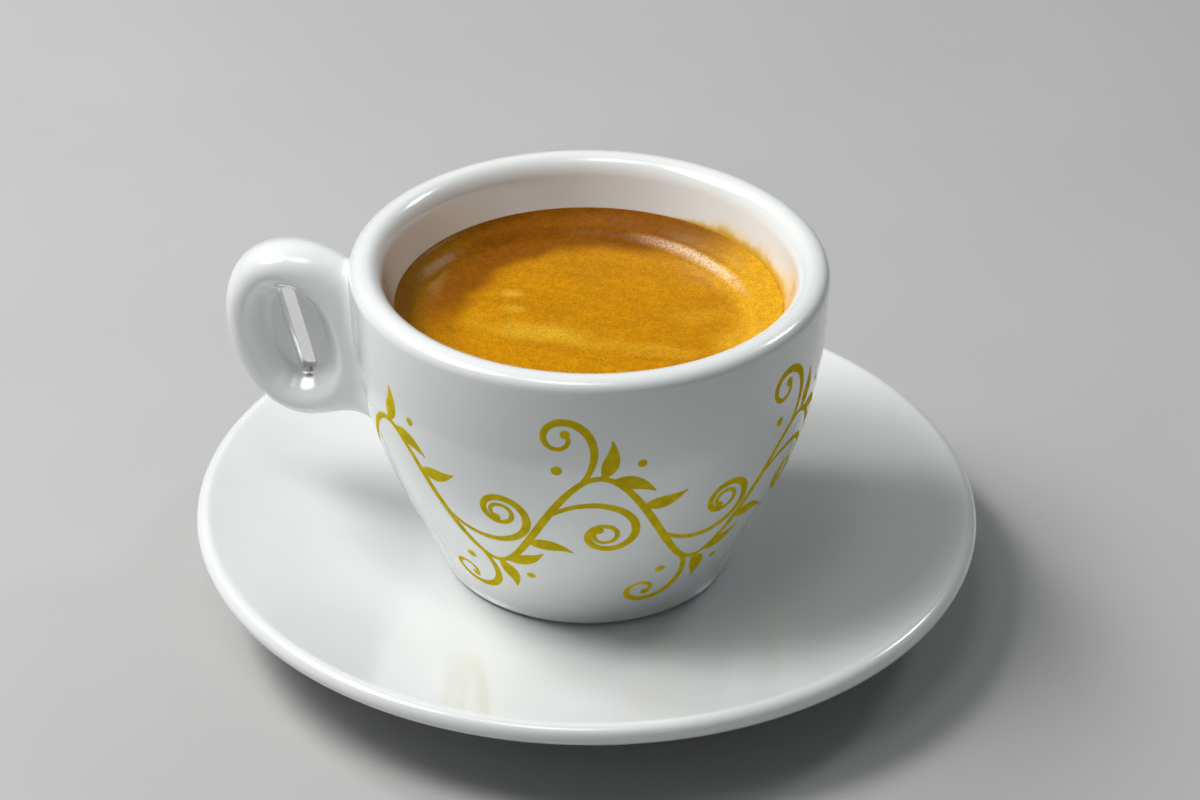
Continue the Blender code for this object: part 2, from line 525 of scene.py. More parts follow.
@dataclass(frozen=True)
class GlazedPorcelain(Finish):
    """White porcelain under a clear, faintly wavy glaze."""

    tide: Tide | None = None
    speck: Speck | None = None
    body: Colour = (0.79, 0.805, 0.80)
    pooled: Colour = (0.765, 0.785, 0.78)
    roughness: tuple[float, float] = (0.14, 0.19)
    cloud_scale: float = 38.0
    speckle_scale: float = 900.0
    speckle_depth: float = 0.000004
    wave_scale: float = 55.0
    wave_depth: float = 0.00006

    def paint(self, graph: NodeGraph) -> None:
        """Lays the clay's clouds, the marks on it and the glaze's waves.

        Args:
            graph: the material's graph.
        """
        cloud = graph.span(graph.noise(self.cloud_scale, 2.0), 0.35, 0.7)
        ground = graph.mix(cloud, self.body, self.pooled)
        for mark in (self.tide, self.speck):
            if mark is not None:
                ground = mark.lay(graph, ground)
        graph.colour(ground)
        speckle = graph.span(graph.noise(self.speckle_scale, 2.0), 0.3, 0.75)
        graph.link(graph.span(speckle, 0.0, 1.0, *self.roughness), graph.shader.inputs["Roughness"])
        wave = graph.bump(graph.noise(self.wave_scale, 1.0), self.wave_depth)
        graph.normal(graph.bump(speckle, self.speckle_depth, under=wave))
        graph.settle({"Coat Weight": 1.0, "Coat Roughness": 0.14, "Coat IOR": 1.6})


@dataclass(frozen=True)
class YellowEnamel(Finish):
    """Brushed-on yellow glaze colour."""

    thick: Colour = (0.60, 0.450, 0.006)
    thin: Colour = (0.72, 0.555, 0.014)
    pool_scale: float = 420.0
    pool_depth: float = 0.00001

    def paint(self, graph: NodeGraph) -> None:
        """Lays thick and thin colour, with a slight relief.

        Args:
            graph: the material's graph.
        """
        pool = graph.span(graph.noise(self.pool_scale, 3.0), 0.35, 0.68)
        graph.colour(graph.mix(pool, self.thick, self.thin))
        graph.normal(graph.bump(pool, self.pool_depth))
        graph.settle({"Roughness": 0.35, "Specular IOR Level": 0.0, "Coat Weight": 0.05, "Coat Roughness": 0.05})


@dataclass(frozen=True)
class DarkCoffee(Finish):
    """The black coffee under the crema."""

    deep: Colour = (0.022, 0.008, 0.003)
    clear: Colour = (0.06, 0.022, 0.006)
    cloud_scale: float = 60.0

    def paint(self, graph: NodeGraph) -> None:
        """Lays the coffee's clouds."""
        graph.colour(graph.mix(graph.span(graph.noise(self.cloud_scale), 0.35, 0.7), self.deep, self.clear))
        graph.settle({"Roughness": 0.06})


@dataclass(frozen=True)
class GoldenCrema(Finish):
    """Fine golden foam, browner on its banked far side, with pale streaks, painted light on the bank's lit right side
    and a painted highlight on the bank's shoulder.
    """

    form: "CremaForm"
    gold: Colour = (0.50, 0.212, 0.0002)
    amber: Colour = (0.455, 0.187, 0.0006)
    pale: Colour = (0.62, 0.34, 0.018)
    brown: Colour = (0.175, 0.050, 0.0002)
    # painted light: a lighter tone for the bank's right side, where the key light falls
    painted_lit: Colour = (0.66, 0.335, 0.012)
    olive: Colour = (0.30, 0.130, 0.0002)
    # painted highlight: a pale tone on the bank's shoulder, where the key light glints
    painted_highlight: Colour = (0.88, 0.63, 0.38)
    roughness: tuple[float, float] = (0.37, 0.55)
    swirl_scale: float = 70.0
    mottle_scale: float = 520.0
    grain_scale: float = 2600.0
    bubble_scale: float = 1300.0
    gloss_scale: float = 300.0
    relief: float = 0.00010

    def paint(self, graph: NodeGraph) -> None:
        """Lays the foam's colours from the broadest to the finest, and its bubbles.

        Args:
            graph: the material's graph.
        """
        form = self.form
        swirl = graph.span(graph.noise(self.swirl_scale, 4.0, (1.0, 2.2, 1.0), distortion=0.6), 0.36, 0.66)
        ground = graph.mix(swirl, self.amber, self.gold)
        grain = graph.noise(self.grain_scale, 2.0, roughness=0.7)
        layers = [(streak.share(graph), self.pale) for streak in form.streaks]
        # painted light on the bank's lit side and a painted highlight on its shoulder, among the foam's own tones
        layers += [(form.painted_lit_bank.share(graph), self.painted_lit), (form.brown_bank.share(graph), self.brown),
                   (form.olive_bank.share(graph), self.olive), (self.painted_highlight_share(graph, grain), self.painted_highlight)]
        for share, tone in layers:
            ground = graph.mix(share, ground, tone)
        mottle = graph.span(graph.noise(self.mottle_scale, 4.0, roughness=0.6), 0.32, 0.68, 0.90, 1.09)
        grained = graph.node("ShaderNodeVectorMath", operation="SCALE")
        graph.link(ground, grained.inputs[0])
        graph.link(graph.product(mottle, graph.span(grain, 0.28, 0.72, 0.78, 1.20)), grained.inputs["Scale"])
        graph.colour(grained.outputs["Vector"])
        gloss = graph.span(graph.noise(self.gloss_scale), 0.3, 0.7, *self.roughness)
        graph.link(gloss, graph.shader.inputs["Roughness"])
        cells = graph.node("ShaderNodeTexVoronoi", feature="SMOOTH_F1")
        cells.inputs["Scale"].default_value = self.bubble_scale
        graph.link(graph.place(), cells.inputs["Vector"])
        foam = graph.bump(cells.outputs["Distance"], self.relief, 0.6)
        graph.normal(graph.bump(grain, self.relief, 0.8, foam))
        graph.settle({"Specular IOR Level": 0.0, "Coat Weight": 0.45, "Coat Roughness": 0.28, "Coat IOR": 1.38})

    def painted_highlight_share(self, graph: NodeGraph, grain: Socket) -> Socket:
        """How much painted highlight lies on the bank's shoulder, only on the side where the key light glints.

        Args:
            graph: the material's graph.
            grain: the foam's grain, which breaks the painted highlight up.

        Returns:
            The share's socket.
        """
        form = self.form
        x, y, _ = graph.axes()
        radius = graph.shifted_radius(x, y, form.shift, form.wide_side)
        off = graph.math("ABSOLUTE", graph.math("SUBTRACT", radius, form.flat_radius + 0.5 * form.ledge_width))
        side = graph.span(graph.towards(x, y, form.highlight_side), form.highlight_start, form.highlight_full)
        band = graph.span(off, form.highlight_core, form.highlight_edge, 1.0, 0.0)
        return graph.product(band, side, graph.span(grain, 0.35, 0.65, 0.42, 0.86))


@dataclass(frozen=True)
class PaleFloor(Finish):
    """A plain pale table top."""

    tone: Colour = (0.43, 0.43, 0.425)
    worn: Colour = (0.415, 0.415, 0.41)
    cloud_scale: float = 12.0

    def paint(self, graph: NodeGraph) -> None:
        """Lays the table's faint clouds."""
        graph.colour(graph.mix(graph.span(graph.noise(self.cloud_scale), 0.3, 0.7), self.tone, self.worn))
        graph.settle({"Roughness": 0.7})


@dataclass(frozen=True)
class PaleStreak:
    """One pale patch on the crema."""

    centre: tuple[float, float]
    half_length: float
    half_width: float
    turn: float
    strength: float
    rag_scale: float = 260.0
    rag: float = 1.5

    def share(self, graph: NodeGraph) -> Socket:
        """How much of the streak shows at a place.

        Args:
            graph: the material's graph.

        Returns:
            The share's socket.
        """
        oval = graph.reach((*self.centre, 0.0), (self.half_length, self.half_width, ENDLESS), self.turn)
        edge = graph.math("ADD", oval, graph.ragged(self.rag_scale, 4.0, self.rag))
        return graph.span(edge, 0.25, 1.25, self.strength, 0.0)


@dataclass(frozen=True)
class Bank:
    """One coloured side of the crema's bank, outside a circle that is shifted away from its wide side."""

    side: float
    low: float
    high: float
    radius: float
    shift: float = 0.0
    wide_side: float = 0.0
    strength: float = 0.9
    fade_in: float = 0.0040
    fade_out: float = 0.0010
    rag_scale: float = 130.0
    rag: float = 0.006

    def share(self, graph: NodeGraph) -> Socket:
        """How much a place belongs to this side.

        Args:
            graph: the material's graph.

        Returns:
            The share's socket.
        """
        x, y, _ = graph.axes()
        ragged = graph.ragged(self.rag_scale, 5.0, self.rag)
        radius = graph.math("ADD", graph.shifted_radius(x, y, self.shift, self.wide_side), ragged)
        on_bank = graph.span(radius, self.radius - self.fade_in, self.radius + self.fade_out)
        faces = graph.span(graph.math("ADD", graph.towards(x, y, self.side), ragged), self.low, self.high)
        return graph.product(on_bank, faces, self.strength)


@dataclass
class CupForm:
    """The cup's turned form."""

    foot_line: float
    foot_radius: float = 0.0271
    foot_round: float = 0.0015
    foot_flat: float = 0.0030
    foot_recess: float = 0.0015
    rim_radius: float = 0.0425
    rim_rise: float = 0.0570
    wall_flare: float = 2.4
    wall_ease: float = 1.25
    lip_height: float = 0.0020
    lip_top: float = 0.0397
    lip_outer_drop: float = 0.0023
    lip_inner_drop: float = 0.0034
    lip_squareness: float = 2.15
    lip_wall: float = 0.0063
    body_wall: float = 0.0082
    inner_slope: float = 0.285
    floor_rise: float = 0.0052
    floor_corner: float = 0.0060
    wall_steps: int = 96
    hollow_steps: int = 48
    lip_steps: int = 22
    foot_steps: int = 8
    corner_steps: int = 12

    @property
    def top_rise(self) -> float:
        """Height of the lip's top above the foot line."""
        return self.rim_rise + self.lip_height

    @property
    def lip_inner_rise(self) -> float:
        """Height above the foot line where the lip runs into the inner wall."""
        return self.top_rise - self.lip_inner_drop

    @property
    def lip_outer_rise(self) -> float:
        """Height above the foot line where the lip runs into the outer wall."""
        return self.top_rise - self.lip_outer_drop

    def wall_radius(self, rise: Points) -> Points:
        """Outer radius at a height above the foot line.

        Args:
            rise: heights above the foot line.

        Returns:
            The radii.
        """
        share = np.clip(np.asarray(rise, float) / self.rim_rise, 0.0, 1.0)
        flare = (1 - (1 - share) ** self.wall_flare) ** self.wall_ease
        return self.foot_radius + (self.rim_radius - self.foot_radius) * flare

    def flare(self, rise: Points) -> Points:
        """How steeply the outer wall widens at a height above the foot line."""
        return (self.wall_radius(rise + WALL_PROBE) - self.wall_radius(rise - WALL_PROBE)) / (2 * WALL_PROBE)

    def hollow_radius(self, rise: Points) -> Points:
        """Inner radius at a height above the foot line."""
        below = np.maximum(self.lip_inner_rise - np.asarray(rise, float), 0.0)
        return self.wall_radius(rise) - np.minimum(self.lip_wall + self.inner_slope * below, self.body_wall)

    def hollow(self, top: float, inset: float, steps: int) -> Points:
        """The hollow's outline from a rise down to the floor and the axis.

        Args:
            top: the rise where it starts.
            inset: how far it is drawn in.
            steps: how many pieces the wall is cut in.

        Returns:
            (radius, height) points.
        """
        bend = self.floor_rise + self.floor_corner
        rises = np.linspace(top, bend, steps + 1)
        wall = np.stack([self.hollow_radius(rises) - inset, self.foot_line + rises], 1)
        corner = (float(self.hollow_radius(bend)) - inset - self.floor_corner, self.foot_line + bend)
        bottom = arc(corner, self.floor_corner - inset, 0, -90, self.corner_steps)[1:]
        return np.vstack([wall, bottom, [[0.0, self.foot_line + self.floor_rise + inset]]])

    def lip(self) -> Points:
        """The rounded lip's outline, from the inside over the top.

        Returns:
            (radius, height) points.
        """
        turns = np.linspace(math.pi, 0.0, 2 * self.lip_steps + 1)
        power = 2 / self.lip_squareness
        is_inner = turns > math.pi / 2
        lean = self.inner_slope * self.lip_inner_drop
        inner_reach = self.lip_top - float(self.hollow_radius(self.lip_inner_rise)) - lean
        reach = np.where(is_inner, inner_reach, float(self.wall_radius(self.lip_outer_rise)) - self.lip_top)
        drop = np.where(is_inner, self.lip_inner_drop, self.lip_outer_drop)
        across = np.sign(np.cos(turns)) * np.abs(np.cos(turns)) ** power * reach
        height = (np.abs(np.sin(turns)) ** power - 1) * drop
        across += np.where(is_inner, self.inner_slope * height, 0.0)
        return np.stack([self.lip_top + across, self.foot_line + self.top_rise + height], 1)

    def outline(self) -> Points:
        """The whole outline, from the middle of the inner floor over the lip and down to the underside.

        Returns:
            (radius, height) points.
        """
        wall_rises = np.linspace(self.lip_outer_rise, 0.0, self.wall_steps + 1)[1:-1]
        wall = np.stack([self.wall_radius(wall_rises), self.foot_line + wall_rises], 1)
        foot_centre = (self.foot_radius - self.foot_round, self.foot_line)
        foot = arc(foot_centre, self.foot_round, 0, -90, self.foot_steps)
        bottom, inner = self.foot_line - self.foot_round, foot_centre[0] - self.foot_flat
        recess = bottom + self.foot_recess
        under = [[inner, bottom], [inner - self.foot_recess, recess], [0, recess]]
        hollow = self.hollow(self.lip_inner_rise, 0.0, self.hollow_steps)
        return np.vstack([hollow[::-1], self.lip()[1:], wall, foot, under])


@dataclass(frozen=True)
class Oval:
    """A leaning oval in the plane of the ear, in quarter superellipses that run smoothly into each other."""

    outward: float
    inward_up: float
    inward_down: float
    up: float
    down: float
    outer_power_up: float = 2.0
    outer_power_down: float = 2.0
    inner_power_up: float = 2.0
    inner_power_down: float = 2.0
    blend: float = 0.005

    def reach(self, across: Points, along: Points) -> Points:
        """How far out a place lies: 0 at the middle and 1 on the oval.

        Args:
            across: distances across the ear, outwards from the oval's middle.
            along: distances along it, upwards.

        Returns:
            The shares, in the same shape.
        """
        below = 1 - smooth_step(along, -self.blend, self.blend)
        inside = 1 - smooth_step(across, -self.blend, self.blend / 2)
        inward = self.inward_up + (self.inward_down - self.inward_up) * below
        inner_power = self.inner_power_up + (self.inner_power_down - self.inner_power_up) * below
        outer_power = self.outer_power_up + (self.outer_power_down - self.outer_power_up) * below
        power = outer_power + (inner_power - outer_power) * inside
        width = np.where(across > 0, self.outward, inward)
        height = np.where(along > 0, self.up, self.down)
        return ((np.abs(across) / width) ** power + (np.abs(along) / height) ** power) ** (1 / power) + 1e-9


@dataclass
class EarForm:
    """The pierced ear: a thick ring that falls into a dimple on both faces, with a slot through the web between."""

    cup: CupForm
    centre: float = 0.0540
    rise: float = 0.0377
    half_thickness: float = 0.0058
    web: float = 0.00125
    ramp: float = 0.42
    lean: float = math.radians(14)
    fillet: float = 0.0032
    lower_fillet: float = 0.0085
    fillet_growth: tuple[float, float] = (0.006, 0.016)
    slot_round: float = 0.0005
    cell: float = 0.00045
    sink: float = 0.00001
    outline: Oval = Oval(0.0128, 0.0174, 0.0245, 0.0173, 0.0176, 2.2, 1.95, 2.0, 4.0)
    crest: Oval = Oval(0.0092, 0.0096, 0.0096, 0.0134, 0.0132, 2.0, 2.3, 2.0, 2.3)
    floor: Oval = Oval(0.0040, 0.0044, 0.0044, 0.0076, 0.0070, 2.2, 2.8, 2.2, 2.8, 0.003)
    slot: Oval = Oval(0.0015, 0.0016, 0.0016, 0.0086, 0.0084, 9.0, 9.0, 9.0, 9.0, 0.0008)
    box_low: Triple = (-0.0700, -0.0160, 0.0080)
    box_high: Triple = (-0.0300, 0.0160, 0.0590)

    def plane(self, places: Points) -> tuple[Points, Points]:
        """Places in the ear's leaning plane.

        Args:
            places: an array of points.

        Returns:
            Distances across and along the leaning slot, from its middle.
        """
        outward = -places[..., 0] - self.centre
        upward = places[..., 2] - self.cup.foot_line - self.rise
        lean_cos, lean_sin = math.cos(self.lean), math.sin(self.lean)
        return outward * lean_cos - upward * lean_sin, outward * lean_sin + upward * lean_cos

    def ring_level(self, places: Points) -> Points:
        """Below 0 inside the ring and web, and above 0 outside, without a true scale.

        Args:
            places: an array of points.

        Returns:
            The level at each place.
        """
        across, along = self.plane(places)
        edge = 1 / self.outline.reach(across, along)
        crest = 1 / self.crest.reach(across, along)
        floor = 1 / self.floor.reach(across, along)
        over = np.clip((1 - crest) / np.maximum(edge - crest, 1e-6), 0.0, 60.0)
        inside = np.clip((crest - 1) / np.maximum(crest - floor, 1e-6), 0.0, 1.0)
        ends = np.minimum(inside, self.ramp) ** 2 + self.ramp**2 - np.minimum(1 - inside, self.ramp) ** 2
        straight = 2 * self.ramp * np.clip(inside - self.ramp, 0.0, 1 - 2 * self.ramp)
        dimple = 1 - (ends + straight) / (2 * self.ramp * (1 - self.ramp))
        thickness = self.web + (self.half_thickness - self.web) * dimple
        return np.sqrt(over**2 + (places[..., 1] / thickness) ** 2) - 1

    def slot_level(self, places: Points) -> Points:
        """Above 0 inside the slot, without a true scale."""
        return 1 - self.slot.reach(*self.plane(places))

    def scaled(self, level: Callable[[Points], Points], places: Points) -> Points:
        """Turns a level into a distance in metres by its slope, true near the surface."""
        return level(places) / np.maximum(np.linalg.norm(slope_of(level, places), axis=-1), 1.0)

    def wall_distance(self, places: Points) -> Points:
        """Distance outside the cup's wall, which is sunk a hair so that the wall's own mesh covers it.

        Args:
            places: an array of points.

        Returns:
            The distances in metres.
        """
        rise = places[..., 2] - self.cup.foot_line
        radius = np.hypot(places[..., 0], places[..., 1])
        return (radius - self.cup.wall_radius(rise) + self.sink) / np.sqrt(1 + self.cup.flare(rise) ** 2)

    def ear_distance(self, places: Points) -> Points:
        """Distance outside the ring, with the slot cut through it.

        Args:
            places: an array of points.

        Returns:
            The distances in metres.
        """
        ring = self.scaled(self.ring_level, places)
        slot = self.scaled(self.slot_level, places)
        near = np.stack([ring + self.slot_round, slot + self.slot_round])
        corner = np.linalg.norm(np.maximum(near, 0.0), axis=0)
        return corner + np.minimum(near.max(0), 0.0) - self.slot_round

    def fillet_at(self, places: Points) -> Points:
        """Radius of the fillet, which grows below the ear's middle."""
        below = self.cup.foot_line + self.rise - places[..., 2]
        return self.fillet + (self.lower_fillet - self.fillet) * smooth_step(below, *self.fillet_growth)

    def distance(self, places: Points) -> Points:
        """Distance outside the ear and the wall, joined by a fillet.

        Args:
            places: an array of points.

        Returns:
            The distances in metres.
        """
        near = np.stack([self.ear_distance(places), self.wall_distance(places)])
        fillet = self.fillet_at(places)
        corner = np.linalg.norm(np.maximum(fillet - near, 0.0), axis=0)
        return np.maximum(fillet, near.min(0)) - corner

    def mesh(self) -> tuple[Points, Points]:
        """The ear's skin, as far as the wall.

        Returns:
            The points and the four-cornered faces.
        """
        foot = np.array([0.0, 0.0, self.cup.foot_line])
        points, faces = surface_of(self.distance, foot + self.box_low, foot + self.box_high, self.cell)
        keep = self.ear_distance(points) < self.fillet_at(points) + 2 * self.cell
        faces = faces[keep[faces].all(1)]
        used, faces = np.unique(faces, return_inverse=True)
        return points[used], faces.reshape(-1, 4)


def surface_of(distance: Callable[[Points], Points], low: Points, high: Points, cell: float) -> tuple[Points, Points]:
    """Meshes the surface where a distance is 0, with one point in each cell that it crosses.

    Args:
        distance: gives the distance outside the surface for an array of places.
        low: the box's lowest corner.
        high: the box's highest corner.
        cell: size of a cell.

    Returns:
        The points, moved onto the surface, and the outward four-cornered faces.
    """
    counts = np.ceil((high - low) / cell).astype(int) + 1
    axes = [low[axis] + cell * np.arange(counts[axis]) for axis in range(3)]
    grid = np.stack(np.meshgrid(*axes, indexing="ij"), -1)
    value = distance(grid)
    total = np.zeros((*(counts - 1), 3))
    number = np.zeros(counts - 1)
    quads = []
    for axis in range(3):
        first = [slice(None)] * 3
        second = [slice(None)] * 3
        first[axis], second[axis] = slice(None, -1), slice(1, None)
        start, end = value[tuple(first)], value[tuple(second)]
        crossed = (start < 0) != (end < 0)
        share = np.where(crossed, start / np.where(start == end, 1, start - end), 0)
        place = grid[tuple(first)].copy()
        place[..., axis] += share * cell
        others = [other for other in range(3) if other != axis]
        for step in ((0, 0), (0, 1), (1, 0), (1, 1)):
            cut = [slice(None)] * 3
            for other, shift in zip(others, step):
                cut[other] = slice(shift, counts[other] - 1 + shift)
            total += place[tuple(cut)] * crossed[tuple(cut)][..., None]
            number += crossed[tuple(cut)]
        quads.append((axis, others, np.argwhere(crossed), start < 0))
    filled = number > 0
    index = np.full(number.shape, -1)
    index[filled] = np.arange(filled.sum())
    points = total[filled] / number[filled][:, None]
    faces = []
    for axis, others, edges, is_inside in quads:
        inner = (edges[:, others[0]] > 0) & (edges[:, others[1]] > 0)
        inner &= (edges[:, others[0]] < counts[others[0]] - 1) & (edges[:, others[1]] < counts[others[1]] - 1)
        edges = edges[inner]
        corners = []
        for shift in ((-1, -1), (0, -1), (0, 0), (-1, 0)):
            cell_index = edges.copy()
            cell_index[:, others[0]] += shift[0]
            cell_index[:, others[1]] += shift[1]
            corners.append(index[tuple(cell_index.T)])
        quad = np.stack(corners, 1)
        outward = is_inside[tuple(edges.T)] != (axis == 1)
        quad[~outward] = quad[~outward][:, ::-1]
        faces.append(quad)
    for _ in range(SETTLE_ROUNDS):
        points = points - settle_step(distance, points, cell)
    return points, np.vstack(faces)


def settle_step(distance: Callable[[Points], Points], points: Points, cell: float) -> Points:
    """How far points lie off the surface.

    Args:
        distance: the distance function.
        points: the points.
        cell: the size of the cells that they came from, which limits the step.

    Returns:
        The offsets from the surface to the points.
    """
    value, slope = distance(points), slope_of(distance, points)
    length = np.maximum((slope**2).sum(1), LEAST_SLOPE)
    move = slope * (value / length)[:, None]
    far = np.linalg.norm(move, axis=1, keepdims=True)
    return move * np.minimum(1.0, 0.5 * cell / np.maximum(far, 1e-12))


@dataclass
class Cup:
    """The cup with its ear, as one piece."""

    form: CupForm
    finish: GlazedPorcelain
    segments: int = 288

    def build(self) -> bpy.types.Object:
        """Makes the turned cup and joins the ear to it.

        Returns:
            The finished cup.
        """
        points, faces = turned(self.form.outline(), self.segments)
        ear_points, ear_faces = EarForm(self.form).mesh()
        faces += [tuple(face) for face in ear_faces + len(points)]
        piece = MeshPiece("cup_porcelain", np.vstack([points, ear_points]), faces)
        return piece.dress(self.finish.build("porcelain_cup"), Slot.PORCELAIN, Node.CUP)


@dataclass
class Saucer:
    """The turned saucer."""

    radius: float = 0.0715
    height: float = 0.0175
    rim: float = 0.0019
    thickness: float = 0.0044
    curve: float = 1.35
    well_radius: float = 0.0295
    well_height: float = 0.0065
    well_step: float = 0.0005
    well_ease: float = 0.0050
    flange_start: float = 0.0310
    base: float = 0.0035
    foot_radius: float = 0.0385
    foot_half: float = 0.0012
    foot_flare: float = 0.0010
    foot_edge: float = 0.0006
    segments: int = 320
    well_steps: tuple[float, ...] = (0.0, 0.01, 0.02)
    upper_steps: int = 71
    rim_steps: int = 22
    lower_steps: int = 29
    foot_steps: int = 5
    finish: GlazedPorcelain = GlazedPorcelain()

    @property
    def flange_foot(self) -> tuple[float, float]:
        """Radius and height where the flange starts to rise from the well."""
        return self.flange_start, self.well_height + self.well_step

    def flange(self, radius: Points, end: Points) -> Points:
        """Height of the flange's upper face.

        Args:
            radius: distances from the axis.
            end: radius and height where the flange runs into the rim.

        Returns:
            The heights.
        """
        start = self.flange_foot
        share = np.maximum((radius - start[0]) / (end[0] - start[0]), 0.0)
        return start[1] + (end[1] - start[1]) * share**self.curve

    def outline(self) -> Points:
        """The outline from the middle of the well out over the rim and back under the foot.

        Returns:
            (radius, height) points.
        """
        rim_centre, start = (self.radius - self.rim, self.height - self.rim), self.flange_foot
        slope = self.curve * (rim_centre[1] - start[1]) / (rim_centre[0] - start[0])
        lean = math.degrees(math.atan(slope))
        rim = arc(rim_centre, self.rim, 90 + lean, -90 + lean, self.rim_steps)
        well = (self.well_radius - self.well_ease, self.well_radius + self.well_ease)
        radii = np.concatenate([self.well_steps, np.linspace(well[0], rim[0][0], self.upper_steps + 1)[:-1]])
        dip = self.well_step * (1 - smooth_step(radii, *well))
        upper = np.stack([radii, self.flange(radii, rim[0]) - dip], 1)
        foot_out, foot_in = self.foot_radius + self.foot_half, self.foot_radius - self.foot_half
        radii = np.linspace(rim[-1][0], foot_out + self.foot_flare, self.lower_steps + 1)[1:]
        lower = np.stack([radii, self.flange(radii, rim[0]) - self.thickness], 1)
        under_base = self.well_height - self.base
        outer = arc((foot_out - self.foot_edge, self.foot_edge), self.foot_edge, 0, -90, self.foot_steps)
        inner = arc((foot_in + self.foot_edge, self.foot_edge), self.foot_edge, -90, -180, self.foot_steps)
        end = [[foot_in - self.foot_flare, under_base], [self.foot_radius / 2, under_base], [0.0, under_base]]
        return np.vstack([upper, rim, lower, outer, inner, end])

    def build(self) -> bpy.types.Object:
        """Makes the finished saucer.

        Returns:
            The finished saucer.
        """
        points, faces = turned(self.outline(), self.segments)
        material = self.finish.build("porcelain_saucer")
        return MeshPiece("saucer_porcelain", points, faces).dress(material, Slot.PORCELAIN, Node.SAUCER)


@dataclass
class CremaForm:
    """The crema's sizes. Angles are counted from +X towards +Y, and the ear lies at 180 degrees."""

    cup: CupForm
    edge_rise: float = 0.0499
    dip: float = 0.0023
    thickness: float = 0.0036
    flat_radius: float = 0.0294
    shift: float = 0.0038
    wide_side: float = math.radians(70)
    brown_bank: Bank = Bank(math.radians(130), -0.004, 0.018, 0.0270, 0.0040, math.radians(160))
    olive_bank: Bank = Bank(math.radians(188), 0.020, 0.031, 0.0305)
    # painted light: the bank's right side, where the key light falls, is painted lighter
    painted_lit_bank: Bank = Bank(math.radians(22), 0.012, 0.033, 0.0294, 0.0038, math.radians(70))
    # where the painted highlight lies on the bank's shoulder
    highlight_side: float = math.radians(56)
    highlight_start: float = 0.0232
    highlight_full: float = 0.0292
    highlight_core: float = 0.0002
    highlight_edge: float = 0.0015
    ledge: float = 0.60
    ledge_width: float = 0.0034
    bank_power: float = 2.6
    wander: float = 0.00018
    wander_waves: tuple[Triple, ...] = ((3, 0.6, 1.0), (7, 2.0, 0.6), (17, 0.0, 0.3))
    meniscus: float = 0.0002
    meniscus_width: float = 0.0012
    roll: float = 0.00004
    calm_width: float = 0.003
    streaks: tuple[PaleStreak, ...] = (
        PaleStreak((-0.0065, -0.0088), 0.0125, 0.0036, math.radians(1), 0.75),
        PaleStreak((0.0110, -0.0100), 0.0150, 0.0026, math.radians(3), 0.38),
        PaleStreak((-0.0149, 0.0037), 0.0026, 0.0016, math.radians(8), 0.85),
        PaleStreak((-0.0132, -0.0014), 0.0028, 0.0016, math.radians(-10), 0.75),
        PaleStreak((0.0205, 0.0035), 0.0060, 0.0035, math.radians(20), 0.28),
        PaleStreak((0.0265, -0.0040), 0.0046, 0.0042, math.radians(60), 0.60),
    )

    @property
    def edge_radius(self) -> float:
        """Radius of the wall where the crema meets it."""
        return float(self.cup.hollow_radius(self.edge_rise))

    @property
    def underside(self) -> float:
        """Height of the crema's underside."""
        return self.cup.foot_line + self.edge_rise - self.dip - self.thickness

    def height(self, radius: Points, angle: Points) -> Points:
        """Height of the crema's face.

        Args:
            radius: distances from the axis.
            angle: their angles.

        Returns:
            Heights above the table.
        """
        waves = sum(share * np.sin(count * angle + start) for count, start, share in self.wander_waves)
        level = self.flat_radius - self.shift * np.cos(angle - self.wide_side) + self.wander * waves
        share = np.clip((radius - level) / (self.edge_radius - level), 0.0, 1.0)
        ledge = smooth_step(radius - level, 0.0, self.ledge_width)
        bank = self.ledge * ledge + (1 - self.ledge) * share**self.bank_power
        x, y = radius * np.cos(angle), radius * np.sin(angle)
        roll = self.roll * np.sin(170 * x + 2.1 * np.sin(140 * y)) * np.sin(190 * y + 1.3 + 1.7 * np.sin(120 * x))
        near_wall = np.clip((radius - self.edge_radius + self.meniscus_width) / self.meniscus_width, 0.0, 1.0)
        fade = 1 - smooth_step(radius, self.edge_radius - self.calm_width, self.edge_radius)
        bottom = self.cup.foot_line + self.edge_rise - self.dip
        return bottom + self.dip * bank + roll * fade + self.meniscus * near_wall**2


@dataclass
class Crema:
    """The layer of foam on the coffee."""

    form: CremaForm
    segments: int = 360
    rings: int = 120
    crowding: float = 0.85
    overlap: float = 0.00008

    def build(self) -> bpy.types.Object:
        """Makes the crema, whose edge reaches just into the wall.

        Returns:
            The finished crema.
        """
        form = self.form
        angles = np.linspace(0, 2 * math.pi, self.segments, endpoint=False)
        shares = np.linspace(0, 1, self.rings + 1)[1:] ** self.crowding
        radius, angle = np.meshgrid((form.edge_radius + self.overlap) * shares, angles, indexing="ij")
        height = form.height(radius, angle)
        under = form.underside
        low = form.cup.hollow_radius(under - form.cup.foot_line) + self.overlap
        radius, angle = np.vstack([radius, np.full(self.segments, low)]), np.vstack([angle, angles])
        height = np.vstack([height, np.full(self.segments, under)])
        rings = np.stack([radius * np.cos(angle), radius * np.sin(angle), height], -1)
        points, faces = capped(rings, float(form.height(np.array(0.0), np.array(0.0))), under)
        material = GoldenCrema(form).build("golden_crema")
        return MeshPiece("crema_foam", points, faces).dress(material, Slot.CREMA, Node.CREMA)


@dataclass
class Coffee:
    """The coffee under the crema."""

    form: CremaForm
    finish: DarkCoffee = DarkCoffee()
    segments: int = 128
    wall_steps: int = 24
    overlap: float = 0.00008
    gap: float = 0.0001

    def build(self) -> bpy.types.Object:
        """Makes the coffee, which fills the cup to just under the crema.

        Returns:
            The finished coffee.
        """
        cup = self.form.cup
        outline = cup.hollow(self.form.underside - cup.foot_line - self.gap, -self.overlap, self.wall_steps)
        surface = [[0.0, outline[0][1]], [outline[0][0] / 2, outline[0][1]]]
        points, faces = turned(np.vstack([surface, outline]), self.segments)
        material = self.finish.build("dark_coffee")
        return MeshPiece("coffee_drink", points, faces).dress(material, Slot.COFFEE, Node.COFFEE)


